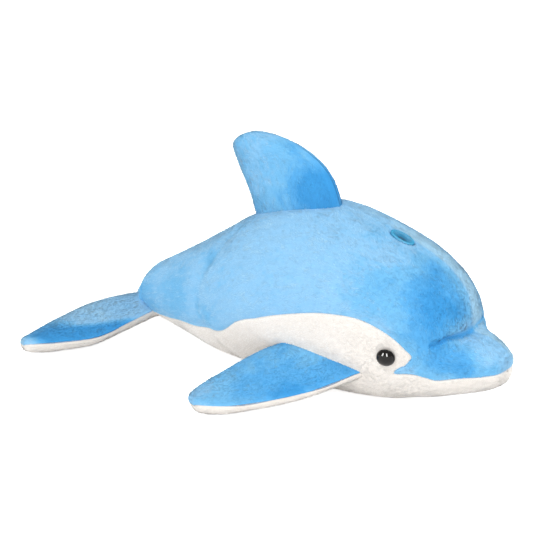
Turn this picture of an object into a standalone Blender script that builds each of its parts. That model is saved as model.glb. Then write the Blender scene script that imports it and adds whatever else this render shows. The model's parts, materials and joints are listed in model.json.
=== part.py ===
"""Plush dolphin lying on its belly, modelled as the cloth panels and the filling it is sewn from.

Metres, +Z up. The nose points along +X, the left flipper along +Y, and the XZ plane is the plane of
symmetry. The origin lies on the floor, under the middle of the toy's overall length.

The body is one smooth surface, read by two numbers: a station, which runs from 0 at the nose to the
last row of BODY_SECTIONS at the tail, and an angle, which is 0 on the back line, 90 degrees at the
side and 180 degrees on the belly line. Every piece that is sewn to the body is placed by those two
numbers, so it follows the body when a size changes.
"""

import bmesh
import bpy
import numpy as np
from mathutils import Matrix, Vector

# Colours, as linear red, green and blue
BLUE = (0.14, 0.42, 0.82)
WHITE = (0.88, 0.86, 0.84)
FILLING_WHITE = (0.95, 0.95, 0.94)
TEAL = (0.10, 0.40, 0.55)
EYE_BLACK = (0.01, 0.01, 0.012)
WASHER_WHITE = (0.80, 0.80, 0.78)
PLUSH_ROUGHNESS = 0.9
FILLING_ROUGHNESS = 1.0
THREAD_ROUGHNESS = 0.8
EYE_ROUGHNESS = 0.08
WASHER_ROUGHNESS = 0.45

# Body, from the nose to the stump that carries the fluke
BODY_LENGTH = 0.295
BODY_HEIGHT = 0.121
BODY_WIDTH = 0.118
NOSE_X = 0.1665
FLOOR_BLEND = 0.003

# Cloth, seams and filling
FABRIC_THICKNESS = 0.0025
SEAM_GAP = 0.0004
FILLING_GAP = 0.0008
BODY_FILLING_GAP = 0.0023
FIN_EDGE_THICKNESS = 0.0016
FIN_SEAM_GAP = 0.0008
MIN_FILLING = 0.0004
FIN_FULLNESS = 0.55
FIN_TAPER = 3

# Dorsal fin
DORSAL_CHORD = 0.083
DORSAL_HEIGHT = 0.0396
DORSAL_THICKNESS = 0.028
DORSAL_STATION = 10.36

# Flippers
FLIPPER_LENGTH = 0.086
FLIPPER_THICKNESS = 0.018
FLIPPER_STATION = 8.72
FLIPPER_ANGLE = 109.0

# Tail fluke
FLUKE_SPAN = 0.196
FLUKE_CHORD = 0.064
FLUKE_THICKNESS = 0.018
FLUKE_HEIGHT = 0.020

# Eyes, each a moulded dome whose shank is held inside by a pressed-on washer
EYE_DIAMETER = 0.012
EYE_HEIGHT = 0.0048
EYE_RIM = 0.0008
SHANK_DIAMETER = 0.0034
SHANK_LENGTH = 0.0085
WASHER_DIAMETER = 0.011
WASHER_THICKNESS = 0.0012
SHANK_CLEARANCE = 0.0003
WASHER_SEAT_GAP = 0.0013
EYE_STATION = 7.0
EYE_ANGLE = 89.0

# Blowhole, a stitched oval patch on the back line. Its middle has BLOWHOLE_DISH of its thickness,
# and a raised ridge runs round inside its edge.
BLOWHOLE_LENGTH = 0.0175
BLOWHOLE_WIDTH = 0.0105
BLOWHOLE_THICKNESS = 0.0014
BLOWHOLE_DISH = 0.4
BLOWHOLE_RIDGE = 1.5
BLOWHOLE_RIDGE_END = 0.95
BLOWHOLE_STATION = 8.15

# Mesh density. BELLY_SPREAD places the belly's columns, from the belly line up to the seam. The
# cloth's inner side stops LINING_END stations short of nose and stump, where it would cross itself,
# and near the same two ends a seam's edge moves by at most SEAM_ROOM of the way to the next column.
ROWS_PER_SEAM_POINT = 2
LINING_END = 0.25
SEAM_ROOM = 0.4
BACK_COLUMNS = 8
BELLY_SPREAD = (0.0, 0.16, 0.36, 0.55, 0.72, 0.87, 1.0)
FILLING_COLUMNS = 19
CUTTER_COLUMNS = 37
CUTTER_STATIONS = (6.0, 14.0)
CUTTER_STEP = 0.25
TAIL_CUTTER_COLUMNS = 21
TAIL_CUTTER_START = 13.0
FILLING_STEP = 0.5
FIN_ROWS = 10
FIN_ROW_SPREAD = 0.8
FIN_COLUMNS = 7
EYE_ROWS = 6
BLOWHOLE_RINGS = 4
TURNED_SIDES = 12
SLOPE_STEP = 0.002
SOFT_EDGE = 50.0
MERGE_DISTANCE = 1e-7

# Sections of the body. Back line: distance behind the nose as a share of the length, height as a
# share of the height. Belly line: the same two. Then the half width as a share of the greatest one,
# the level of the widest point between belly and back, and how square the upper half is (1 is round,
# less is fuller). A share below zero is cloth that the floor presses flat.
BODY_SECTIONS = (
    (0.000, 0.273, 0.000, 0.256, 0.002, 0.50, 1.00),
    (0.005, 0.339, 0.008, 0.190, 0.186, 0.48, 1.00),
    (0.031, 0.388, 0.037, 0.140, 0.331, 0.46, 0.95),
    (0.064, 0.417, 0.085, 0.099, 0.466, 0.46, 0.80),
    (0.098, 0.434, 0.129, 0.066, 0.568, 0.46, 0.60),
    (0.105, 0.529, 0.159, 0.041, 0.619, 0.44, 0.72),
    (0.122, 0.649, 0.200, 0.017, 0.703, 0.44, 0.78),
    (0.169, 0.759, 0.251, -0.017, 0.814, 0.44, 0.72),
    (0.258, 0.862, 0.325, -0.041, 0.924, 0.45, 0.61),
    (0.376, 0.956, 0.414, -0.050, 0.992, 0.45, 0.74),
    (0.505, 0.992, 0.519, -0.050, 1.000, 0.45, 0.90),
    (0.624, 0.909, 0.624, -0.033, 0.932, 0.46, 1.00),
    (0.729, 0.747, 0.725, 0.000, 0.797, 0.47, 1.00),
    (0.817, 0.611, 0.810, 0.041, 0.644, 0.48, 1.00),
    (0.898, 0.500, 0.885, 0.074, 0.508, 0.48, 1.00),
    (0.959, 0.411, 0.939, 0.091, 0.390, 0.48, 1.00),
    (0.990, 0.322, 0.976, 0.099, 0.288, 0.48, 1.00),
    (1.000, 0.208, 0.997, 0.157, 0.002, 0.50, 1.00),
)
LAST_STATION = len(BODY_SECTIONS) - 1

# Soft folds across the tail stock, where the slack cloth dips in. Each gives the station and angle
# of its middle, how many stations it runs forward of that per square radian, its half width in
# stations and its depth as a share of the section. They fade out towards the back line.
TAIL_FOLDS = (
    (12.1, 81.0, 0.75, 0.33, 0.050),
    (15.7, 85.0, 0.40, 0.45, 0.060),
)
FOLD_FADE_ANGLE = 15.0
FOLD_FULL_ANGLE = 40.0

# The seam between the blue back and the white belly, from the nose along the mouth to the blue
# corner behind it, forward again to the white point before the eye, then over the eye and along the
# side to the tail. Each row gives the station where the thread line across the cloth starts on the
# back line, the station and angle of the seam, and the station where that line ends on the belly.
SEAM_LINE = (
    (0.0, 0.0, 92.0, 0.0),
    (0.9, 1.0, 89.5, 1.0),
    (2.2, 2.4, 89.5, 2.5),
    (3.2, 3.4, 91.0, 3.6),
    (4.0, 4.0, 91.5, 4.6),
    (4.4, 5.1, 91.5, 5.8),
    (4.8, 6.0, 96.0, 6.8),
    (5.1, 6.6, 101.5, 7.6),
    (5.3, 6.5, 95.5, 8.2),
    (5.5, 6.05, 85.5, 8.5),
    (6.0, 6.4, 82.0, 8.7),
    (6.6, 7.05, 78.5, 8.9),
    (7.3, 7.65, 78.5, 9.1),
    (8.1, 8.3, 80.5, 9.4),
    (9.0, 8.95, 82.5, 9.8),
    (10.0, 10.0, 88.5, 10.5),
    (10.9, 10.65, 95.0, 11.0),
    (11.5, 11.2, 103.5, 11.5),
    (12.1, 11.85, 111.5, 12.1),
    (13.1, 12.9, 119.5, 13.0),
    (14.5, 14.3, 124.0, 14.4),
    (16.0, 15.9, 120.0, 15.9),
    (17.0, 17.0, 105.0, 17.0),
)
BACK_FAN = 8.0
BELLY_FAN = 6.0

# Fin outlines, from the root's front round the tip to the root's rear.
# Dorsal fin: share of the chord ahead of its station, share of the height above the back line.
DORSAL_OUTLINE = (
    (0.44, -0.25),
    (0.315, 0.43),
    (0.11, 0.80),
    (-0.18, 0.99),
    (-0.47, 1.00),
    (-0.63, 0.79),
    (-0.585, 0.46),
    (-0.455, -0.05),
    (-0.33, -0.75),
)

# Flipper: shares of its length, ahead of, outward from and above its place on the side.
FLIPPER_OUTLINE = (
    (0.43, -0.19, -0.04),
    (0.33, -0.05, -0.07),
    (0.15, 0.19, -0.15),
    (-0.07, 0.39, -0.21),
    (-0.32, 0.56, -0.26),
    (-0.54, 0.68, -0.26),
    (-0.68, 0.67, -0.255),
    (-0.745, 0.56, -0.235),
    (-0.66, 0.34, -0.15),
    (-0.49, 0.16, -0.02),
    (-0.31, -0.01, 0.07),
    (-0.16, -0.15, 0.13),
)
FLIPPER_LEAN = (-0.25, 0.10, 0.95)

# Right half of the fluke: share of the chord ahead of the stump's end, share of the half span,
# share of the fluke's height above the floor.
FLUKE_OUTLINE = (
    (0.41, 0.00, 1.00),
    (0.38, 0.15, 0.95),
    (0.27, 0.41, 0.70),
    (0.16, 0.68, 0.50),
    (-0.09, 0.88, 0.45),
    (-0.36, 1.00, 0.40),
    (-0.53, 1.00, 0.40),
    (-0.59, 0.90, 0.40),
    (-0.56, 0.63, 0.60),
    (-0.47, 0.35, 0.80),
    (-0.33, 0.15, 0.85),
    (-0.16, 0.00, 0.85),
)


def spline(rows, place):
    """Smooth curve through the rows: a Catmull-Rom spline, row number in, row of values out."""
    rows = np.asarray(rows, float)
    place = np.asarray(place, float)
    ends = np.vstack([2 * rows[0] - rows[1], rows, 2 * rows[-1] - rows[-2]])
    index = np.clip(np.floor(place).astype(int), 0, len(rows) - 2)
    f = (place - index)[..., None]
    a, b, c, d = (ends[index + k] for k in range(4))
    return b + 0.5 * f * (c - a + f * (2 * a - 5 * b + 4 * c - d + f * (3 * (b - c) + d - a)))


def press_flat(z):
    """Height of cloth that rests on the floor: flat below it, rounding smoothly into the flat."""
    k = FLOOR_BLEND
    return np.where(z <= -k, 0.0, np.where(z < k, (z + k) ** 2 / (4 * k), z))


def fold_dip(station, angle):
    """Share of the section by which the soft folds draw the cloth in at a station and an angle."""
    turned = np.degrees(np.abs(angle))
    full = np.clip((turned - FOLD_FADE_ANGLE) / (FOLD_FULL_ANGLE - FOLD_FADE_ANGLE), 0, 1)
    dip = np.zeros_like(full)
    for middle, middle_angle, bend, width, depth in TAIL_FOLDS:
        line = middle - bend * np.radians(turned - middle_angle) ** 2
        dip = dip + full * depth * np.exp(-((station - line) / width) ** 2)
    return dip


def body_point(station, angle):
    """Point of the body's outside: a quarter ellipse above and below the widest level, less folds."""
    back_x, back_z, belly_x, belly_z, width, level, square = np.moveaxis(
        spline(BODY_SECTIONS, station), -1, 0)
    rise = np.cos(angle)
    upper = rise > 0
    mid_x = belly_x + level * (back_x - belly_x)
    mid_z = belly_z + level * (back_z - belly_z)
    reach = np.abs(rise)
    drawn_in = 1 - fold_dip(station, angle)
    x = mid_x + (np.where(upper, back_x, belly_x) - mid_x) * reach
    z = mid_z + (np.where(upper, back_z, belly_z) - mid_z) * np.where(upper, reach ** square, reach)
    z = mid_z + (z - mid_z) * drawn_in
    y = width * np.sin(angle) * drawn_in
    return np.stack([NOSE_X - x * BODY_LENGTH,
                     y * BODY_WIDTH / 2,
                     press_flat(z * BODY_HEIGHT)], axis=-1)


def unit(vectors):
    return vectors / np.linalg.norm(vectors, axis=-1, keepdims=True)


def body_surface(station, angle, inset=0.0):
    """Point at a depth under the body's outside, measured square to it, and the outward normal."""
    station, angle = np.broadcast_arrays(np.asarray(station, float), np.asarray(angle, float))
    step = SLOPE_STEP
    along = body_point(station + step, angle) - body_point(station - step, angle)
    around = body_point(station, angle + step) - body_point(station, angle - step)
    normal = unit(np.cross(around, along))
    return body_point(station, angle) - inset * normal, normal


def new_object(name, vertices, faces):
    """Mesh object from points and faces that run one way round, turned outward if they face in."""
    mesh = bpy.data.meshes.new(name)
    mesh.from_pydata(np.asarray(vertices).reshape(-1, 3).tolist(), [], faces)
    bm = bmesh.new()
    bm.from_mesh(mesh)
    bmesh.ops.remove_doubles(bm, verts=bm.verts, dist=MERGE_DISTANCE)
    bmesh.ops.triangulate(bm, faces=bm.faces, quad_method='FIXED')
    if bm.calc_volume(signed=True) < 0:
        bmesh.ops.reverse_faces(bm, faces=bm.faces)
    bm.to_mesh(mesh)
    bm.free()
    mesh.shade_smooth()
    mesh.set_sharp_from_angle(angle=np.radians(SOFT_EDGE))
    obj = bpy.data.objects.new(name, mesh)
    bpy.context.scene.collection.objects.link(obj)
    return obj


def grid_quads(rows, columns, start=0):
    """Quads of a grid of points numbered row by row."""
    return [(start + r * columns + c, start + r * columns + c + 1,
             start + (r + 1) * columns + c + 1, start + (r + 1) * columns + c)
            for r in range(rows - 1) for c in range(columns - 1)]


def sewn_sheet(name, outer, inner, disc=False):
    """Closed sheet of cloth between two grids of the same shape, with a rim round its edge.

    A disc's rows are rings from its middle outwards, so only its last row has a rim.
    """
    rows, columns = outer.shape[:2]
    count = rows * columns
    edge = [(rows - 1) * columns + c for c in range(columns - 1, -1, -1)]
    if not disc:
        edge = [r * columns + columns - 1 for r in range(rows - 1)] + edge
        edge = list(range(columns - 1)) + edge
        edge += [r * columns for r in range(rows - 2, -1, -1)]
    faces = grid_quads(rows, columns)
    faces += [tuple(reversed(quad)) for quad in grid_quads(rows, columns, count)]
    faces += [(b, a, a + count, b + count) for a, b in zip(edge, edge[1:])]
    return new_object(name, np.concatenate([outer.reshape(-1, 3), inner.reshape(-1, 3)]), faces)


def seam_rows():
    """Stations and angles of the seam's points, as columns: back line, seam, angle, belly line."""
    place = np.linspace(0, len(SEAM_LINE) - 1, ROWS_PER_SEAM_POINT * (len(SEAM_LINE) - 1) + 1)
    back, seam, angle, belly = np.moveaxis(spline(SEAM_LINE, place), -1, 0)
    return back[:, None], seam[:, None], np.radians(angle)[:, None], belly[:, None]


def beside_seam(point, normal, side):
    """Step of half a seam gap from the seam line towards the back, or less where threads meet."""
    edge = point[:, -1]
    upward = side * np.cross(normal[:, -1], np.gradient(edge, axis=0))
    room = SEAM_ROOM * np.linalg.norm(edge - point[:, -2], axis=-1, keepdims=True)
    return unit(upward) * np.minimum(SEAM_GAP / 2, room)


def back_panel(name, side):
    """Blue panel from the back line down to the seam, on the side that side gives (+1 is left)."""
    back, seam, seam_angle, _ = seam_rows()
    share = np.linspace(0, 1, BACK_COLUMNS)
    station = back + (seam - back) * share ** BACK_FAN
    layers = []
    for depth, end in ((0.0, 0.0), (FABRIC_THICKNESS, LINING_END)):
        inside = np.clip(station, end, LAST_STATION - end)
        point, normal = body_surface(inside, side * seam_angle * share, depth)
        point[:, -1] += beside_seam(point, normal, side)
        point[..., 1] = side * np.maximum(side * point[..., 1], SEAM_GAP / 2)
        layers.append(point)
    return sewn_sheet(name, *layers)


def belly_panel(name):
    """White panel from seam to seam under the body, with a hole for each eye's shank."""
    _, seam, seam_angle, belly = seam_rows()
    share = np.array(BELLY_SPREAD)
    layers = []
    for depth, end in ((0.0, 0.0), (FABRIC_THICKNESS, LINING_END)):
        halves = []
        for side in (-1, 1):
            angle = side * (np.pi - (np.pi - seam_angle) * share)
            station = np.clip(belly + (seam - belly) * share ** BELLY_FAN, end, LAST_STATION - end)
            point, normal = body_surface(station, angle, depth)
            point[..., 1] = side * np.maximum(side * point[..., 1], SEAM_GAP / 2 * share)
            point[:, -1] -= beside_seam(point, normal, side)
            halves.append(point)
        layers.append(np.concatenate([halves[0][:, :0:-1], halves[1]], axis=1))
    return sewn_sheet(name, *layers)


def body_solid(name, inset, stations, step, columns):
    """Closed solid between two stations, its skin at a depth under the body's outside."""
    rows = round((stations[1] - stations[0]) / step) + 1
    station = np.linspace(*stations, rows)[:, None]
    angle = np.linspace(0, 2 * np.pi, columns)[None, :]
    point, _ = body_surface(station, angle, inset)
    point[:, -1] = point[:, 0]
    nose = tuple(range(columns - 2, -1, -1))
    tail = tuple((rows - 1) * columns + c for c in range(columns - 1))
    return new_object(name, point, grid_quads(rows, columns) + [nose, tail])


def fin_form(outline, thickness):
    """Middle surface of a fin from root to tip, and the height of its pillow above that surface."""
    half = (len(outline) - 1) / 2
    down = np.linspace(0, 1, FIN_ROWS)[:, None] ** FIN_ROW_SPREAD
    across = 0.5 - 0.5 * np.cos(np.pi * np.linspace(0, 1, FIN_COLUMNS))[None, :]
    lead = spline(outline, down * half)
    trail = spline(outline, (2 - down) * half)
    middle = lead * (1 - across[..., None]) + trail * across[..., None]
    round_over = np.maximum(4 * across * (1 - across), 0) ** FIN_FULLNESS
    taper = np.sqrt(np.maximum(1 - down ** FIN_TAPER, 0))
    height = (FIN_EDGE_THICKNESS + (thickness - FIN_EDGE_THICKNESS) * round_over * taper) / 2
    return middle, height


def fin_panel(name, middle, height, up):
    """Cloth of one face of a fin, bulging towards up."""
    lining = np.maximum(height - FABRIC_THICKNESS, SEAM_GAP / 2)
    return sewn_sheet(name, middle + up * height[..., None], middle + up * lining[..., None])


def fin_filling(name, middle, height, up):
    """Filling between a fin's two panels, as far towards its edge as the pillow leaves room."""
    depth = height - FABRIC_THICKNESS - FILLING_GAP
    roomy = np.flatnonzero(np.minimum(depth[:, 1], depth[:, -2]) >= MIN_FILLING)
    part = (slice(roomy[0], roomy[-1] + 1), slice(1, -1))
    offset = up * depth[part][..., None]
    return sewn_sheet(name, middle[part] + offset, middle[part] - offset)


def cut_with(obj, cutter):
    """Cut the cutter's shape out of an object."""
    modifier = obj.modifiers.new("cut", 'BOOLEAN')
    modifier.operation = 'DIFFERENCE'
    modifier.solver = 'EXACT'
    modifier.object = cutter


def hide_tool(obj):
    obj.hide_render = True
    obj.display_type = 'WIRE'
    return obj


def dorsal_fin(body_cutter):
    """Two blue panels and their filling, standing on the back line."""
    foot, _ = body_surface(DORSAL_STATION, 0.0)
    outline = [(foot[0] + along * DORSAL_CHORD, 0.0, foot[2] + above * DORSAL_HEIGHT)
               for along, above in DORSAL_OUTLINE]
    middle, height = fin_form(outline, DORSAL_THICKNESS)
    left = np.array([0.0, 1.0, 0.0])
    pieces = [fin_panel("dorsal_panel_left", middle, height, left),
              fin_panel("dorsal_panel_right", middle, height, -left),
              fin_filling("dorsal_stuffing", middle, height, left)]
    for piece in pieces:
        cut_with(piece, body_cutter)
    return pieces


def flipper(word, side, body_cutter):
    """Blue top, white underside and filling of one flipper, its tip resting on the floor."""
    root, _ = body_surface(FLIPPER_STATION, side * np.radians(FLIPPER_ANGLE))
    outline = [root + FLIPPER_LENGTH * np.array([ahead, side * outward, above])
               for ahead, outward, above in FLIPPER_OUTLINE]
    middle, height = fin_form(outline, FLIPPER_THICKNESS)
    middle[..., 2] = np.maximum(middle[..., 2], height)
    up = unit(np.array(FLIPPER_LEAN) * (1, side, 1))
    pieces = [fin_panel(f"flipper_{word}_top", middle, height, up),
              fin_panel(f"flipper_{word}_underside", middle, height, -up),
              fin_filling(f"flipper_{word}_stuffing", middle, height, up)]
    for piece in pieces:
        cut_with(piece, body_cutter)
    return pieces


def tail_fluke(body_cutter):
    """Crescent fluke: two lobes in one piece, sewn round the end of the body's stump."""
    stump, _ = body_surface(LAST_STATION, 0.0)
    outline = [(stump[0] + ahead * FLUKE_CHORD, -out * FLUKE_SPAN / 2, above * FLUKE_HEIGHT)
               for ahead, out, above in FLUKE_OUTLINE]
    right, height = fin_form(outline, FLUKE_THICKNESS)
    left = right * np.array([1.0, -1.0, 1.0])
    middle = np.concatenate([right[:0:-1], left])
    height = np.concatenate([height[:0:-1], height])
    middle[..., 2] = np.maximum(middle[..., 2], height)
    up = np.array([0.0, 0.0, 1.0])
    pieces = [fin_panel("fluke_top", middle, height, up),
              fin_panel("fluke_underside", middle, height, -up),
              fin_filling("fluke_stuffing", middle, height, up)]
    for piece in pieces:
        cut_with(piece, body_cutter)
    return pieces


def turned(name, profile, frame, closed=False):
    """Solid of revolution about the frame's Z axis, from (radius, height) points."""
    bm = bmesh.new()
    points = [bm.verts.new((radius, 0.0, height)) for radius, height in profile]
    pairs = list(zip(points, points[1:]))
    if closed:
        pairs.append((points[-1], points[0]))
    edges = [bm.edges.new(pair) for pair in pairs]
    bmesh.ops.spin(bm, geom=points + edges, axis=(0, 0, 1), cent=(0, 0, 0), angle=2 * np.pi,
                   steps=TURNED_SIDES, use_merge=True)
    bmesh.ops.remove_doubles(bm, verts=bm.verts, dist=MERGE_DISTANCE)
    bmesh.ops.recalc_face_normals(bm, faces=bm.faces)
    mesh = bpy.data.meshes.new(name)
    bm.to_mesh(mesh)
    bm.free()
    mesh.shade_smooth()
    mesh.set_sharp_from_angle(angle=np.radians(SOFT_EDGE))
    obj = bpy.data.objects.new(name, mesh)
    obj.matrix_world = frame
    bpy.context.scene.collection.objects.link(obj)
    return obj


def standing_frame(point, normal):
    """Frame at a point, its Z axis along the normal and its X axis as level as it can be."""
    z = Vector(normal)
    y = Vector((0, 0, 1)).cross(z).normalized()
    x = y.cross(z)
    return Matrix.Translation(Vector(point)) @ Matrix((x, y, z)).transposed().to_4x4()


def eye(word, side, belly, filling):
    """Glossy dome outside the cloth, washer inside it, with holes for the shank and the washer."""
    seat, normal = body_surface(EYE_STATION, side * np.radians(EYE_ANGLE))
    frame = standing_frame(seat, normal)
    bow = WASHER_DIAMETER ** 2 / (4 * BODY_WIDTH)
    dome_radius = EYE_DIAMETER / 2
    shank = SHANK_DIAMETER / 2
    hole = shank + SHANK_CLEARANCE
    crown = EYE_HEIGHT - EYE_RIM
    back = SEAM_GAP
    turn = np.linspace(np.pi / 2, 0, EYE_ROWS)
    profile = [(dome_radius * np.cos(a), back + EYE_RIM + crown * np.sin(a)) for a in turn]
    profile += [(dome_radius, back), (shank, back), (shank, -SHANK_LENGTH), (0.0, -SHANK_LENGTH)]
    dome = turned(f"eye_{word}", profile, frame)

    washer_top = -(FABRIC_THICKNESS + WASHER_SEAT_GAP + bow)
    washer_foot = washer_top - WASHER_THICKNESS
    ring = [(hole, washer_top), (WASHER_DIAMETER / 2, washer_top),
            (WASHER_DIAMETER / 2, washer_foot), (hole, washer_foot)]
    washer = turned(f"eye_washer_{word}", ring, frame, closed=True)

    bore = [(0.0, EYE_HEIGHT), (hole, EYE_HEIGHT), (hole, -SHANK_LENGTH), (0.0, -SHANK_LENGTH)]
    cut_with(belly, hide_tool(turned(f"bore_{word}", bore, frame)))
    room = FILLING_GAP
    wide = WASHER_DIAMETER / 2 + room
    floor = washer_foot - room
    end = -SHANK_LENGTH - room
    pocket = [(0.0, EYE_HEIGHT), (wide, EYE_HEIGHT), (wide, floor), (hole + room, floor),
              (hole + room, end), (0.0, end)]
    cut_with(filling, hide_tool(turned(f"pocket_{word}", pocket, frame)))
    return [dome, washer]


def blowhole():
    """Oval patch stitched over the back seam, dished towards its middle."""
    here = body_point(BLOWHOLE_STATION, 0.0)
    per_station = np.linalg.norm(body_point(BLOWHOLE_STATION + SLOPE_STEP, 0.0) - here) / SLOPE_STEP
    per_radian = np.linalg.norm(body_point(BLOWHOLE_STATION, SLOPE_STEP) - here) / SLOPE_STEP
    ring = np.linspace(0, 1, BLOWHOLE_RINGS)[:, None]
    turn = np.linspace(0, 2 * np.pi, TURNED_SIDES + 1)[None, :]
    station = BLOWHOLE_STATION + ring * np.cos(turn) * BLOWHOLE_LENGTH / 2 / per_station
    angle = ring * np.sin(turn) * BLOWHOLE_WIDTH / 2 / per_radian
    ridge = np.sin(np.pi * np.minimum(ring, BLOWHOLE_RIDGE_END) ** BLOWHOLE_RIDGE)
    dish = BLOWHOLE_THICKNESS * (BLOWHOLE_DISH + (1 - BLOWHOLE_DISH) * ridge)
    point, normal = body_surface(station, angle, -SEAM_GAP)
    top = point + normal * dish[..., None]
    point[:, -1] = point[:, 0]
    top[:, -1] = top[:, 0]
    return sewn_sheet("blowhole_patch", top, point, disc=True)


def paint(obj, colour, roughness):
    """Give an object its own material."""
    material = bpy.data.materials.new(obj.name)
    material.use_nodes = True
    shader = material.node_tree.nodes["Principled BSDF"]
    shader.inputs["Base Color"].default_value = (*colour, 1.0)
    shader.inputs["Roughness"].default_value = roughness
    obj.data.materials.append(material)


def build():
    for old in list(bpy.data.objects):
        bpy.data.objects.remove(old, do_unlink=True)

    blue = [back_panel("back_panel_left", 1), back_panel("back_panel_right", -1)]
    belly = belly_panel("belly_panel")
    lining = FABRIC_THICKNESS + BODY_FILLING_GAP
    filling = body_solid("body_stuffing", lining, (FILLING_STEP, LAST_STATION - FILLING_STEP),
                         FILLING_STEP, FILLING_COLUMNS)
    body_cutter = hide_tool(body_solid("body_outside", -FIN_SEAM_GAP, CUTTER_STATIONS,
                                       CUTTER_STEP, CUTTER_COLUMNS))
    tail_cutter = hide_tool(body_solid("tail_outside", -FIN_SEAM_GAP,
                                       (TAIL_CUTTER_START, LAST_STATION),
                                       FILLING_STEP, TAIL_CUTTER_COLUMNS))

    dorsal = dorsal_fin(body_cutter)
    fluke = tail_fluke(tail_cutter)
    flippers = [flipper("left", 1, body_cutter), flipper("right", -1, body_cutter)]
    eyes = [eye("left", 1, belly, filling), eye("right", -1, belly, filling)]
    patch = blowhole()

    blue += dorsal[:2] + [fluke[0]] + [parts[0] for parts in flippers]
    white = [belly, fluke[1]] + [parts[1] for parts in flippers]
    fillings = [filling, dorsal[2], fluke[2]] + [parts[2] for parts in flippers]
    for obj in blue:
        paint(obj, BLUE, PLUSH_ROUGHNESS)
    for obj in white:
        paint(obj, WHITE, PLUSH_ROUGHNESS)
    for obj in fillings:
        paint(obj, FILLING_WHITE, FILLING_ROUGHNESS)
    for dome, washer in eyes:
        paint(dome, EYE_BLACK, EYE_ROUGHNESS)
        paint(washer, WASHER_WHITE, WASHER_ROUGHNESS)
    paint(patch, TEAL, THREAD_ROUGHNESS)


build()
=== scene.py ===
# %% [markdown]
# # A plush dolphin sewn from numpy surfaces
#
# The toy is short-pile plush cloth, cut into panels, sewn edge to edge and stuffed with fibre.
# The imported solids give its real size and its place. This lesson works each panel out as a
# surface over two numbers, lays the seams, folds and gathers into it, and then plants the pile on
# it, one small tapered lock of fibre after another.

# %% Load the frame and keep its box
import json

import bpy
import numpy as np
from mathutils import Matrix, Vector

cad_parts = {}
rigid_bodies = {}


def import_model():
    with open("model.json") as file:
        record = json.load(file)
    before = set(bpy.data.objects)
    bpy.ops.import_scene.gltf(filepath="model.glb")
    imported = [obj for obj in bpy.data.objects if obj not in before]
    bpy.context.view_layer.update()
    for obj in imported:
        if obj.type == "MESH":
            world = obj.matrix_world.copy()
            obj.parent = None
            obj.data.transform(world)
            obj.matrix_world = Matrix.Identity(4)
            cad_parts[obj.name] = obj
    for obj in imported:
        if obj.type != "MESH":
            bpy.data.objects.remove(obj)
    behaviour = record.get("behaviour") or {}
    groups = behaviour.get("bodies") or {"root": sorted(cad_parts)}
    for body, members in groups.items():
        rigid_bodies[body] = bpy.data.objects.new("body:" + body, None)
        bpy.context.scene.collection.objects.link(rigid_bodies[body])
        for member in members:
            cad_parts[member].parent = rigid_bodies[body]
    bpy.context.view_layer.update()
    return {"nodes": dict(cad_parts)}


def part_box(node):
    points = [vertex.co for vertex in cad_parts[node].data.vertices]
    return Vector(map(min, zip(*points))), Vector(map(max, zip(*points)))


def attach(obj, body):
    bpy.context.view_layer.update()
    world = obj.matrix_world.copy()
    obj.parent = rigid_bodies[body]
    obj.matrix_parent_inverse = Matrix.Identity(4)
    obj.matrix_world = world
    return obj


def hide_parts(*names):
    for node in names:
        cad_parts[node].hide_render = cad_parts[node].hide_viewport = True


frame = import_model()
print("solids:", len(frame["nodes"]))

# %% [markdown]
# ## Small helpers
#
# A few things come back all through the lesson: a smooth curve through some rows of numbers, a
# unit vector, a bell curve and smooth noise. The noise is worked out for a whole array of points
# at once, which is what keeps a mesh of this size quick.

# %% Curves, unit vectors and noise
MM = 0.001


def unit(vectors):
    """Each vector divided by its length."""
    return vectors / np.maximum(np.linalg.norm(vectors, axis=-1, keepdims=True), 1e-12)


def spline(rows, place):
    """Smooth curve through the rows: between rows b and c, with a before and d after, a cubic that
    leaves b with the slope (c - a) / 2 and meets c with the slope (d - b) / 2."""
    rows = np.asarray(rows, float)
    place = np.asarray(place, float)
    ends = np.vstack([2 * rows[0] - rows[1], rows, 2 * rows[-1] - rows[-2]])
    index = np.clip(np.floor(place).astype(int), 0, len(rows) - 2)
    f = (place - index)[..., None]
    a, b, c, d = (ends[index + k] for k in range(4))
    return b + 0.5 * f * (c - a + f * (2 * a - 5 * b + 4 * c - d + f * (3 * (b - c) + d - a)))


def ease(values, low, high):
    """0 below low, 1 above high, and 3t^2 - 2t^3 in between."""
    t = np.clip((values - low) / (high - low), 0, 1)
    return t * t * (3 - 2 * t)


def bell(values, width):
    """Bell curve exp(-(v / width)^2): 1 at 0, and almost nothing beyond twice the width."""
    return np.exp(-(values / width) ** 2)


def picked(count, few):
    """Numbers of a few columns out of many, evenly spread from the first to the last."""
    return np.linspace(0, count - 1, few).round().astype(int)


def mirrored(points):
    """The points folded over onto the toy's left side: y without its sign."""
    return np.abs(points * (0, 1, 0)) + points * (1, 0, 1)


def noise(points, size, seed):
    """Smooth noise from -1 to 1: random values at the corners of a lattice with cells of that
    size, blended inside each cell by 3t^2 - 2t^3 along each axis."""
    scaled = np.asarray(points) / size
    cell = np.floor(scaled).astype(np.int64)
    t = scaled - cell
    t = t * t * (3 - 2 * t)
    total = np.zeros(scaled.shape[:-1])
    for corner in np.ndindex(2, 2, 2):
        key = (cell + corner) * (73856093, 19349663, 83492791)
        mixed = (key[..., 0] ^ key[..., 1] ^ key[..., 2] ^ (seed * 40503)) & 0xFFFFFFFF
        mixed = ((mixed ^ (mixed >> 15)) * 2246822519) & 0xFFFFFFFF
        mixed = ((mixed ^ (mixed >> 13)) * 3266489917) & 0xFFFFFFFF
        value = (mixed ^ (mixed >> 16)) / 2147483648 - 1
        weight = np.prod(np.where(corner, t, 1 - t), axis=-1)
        total += value * weight
    return total


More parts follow.
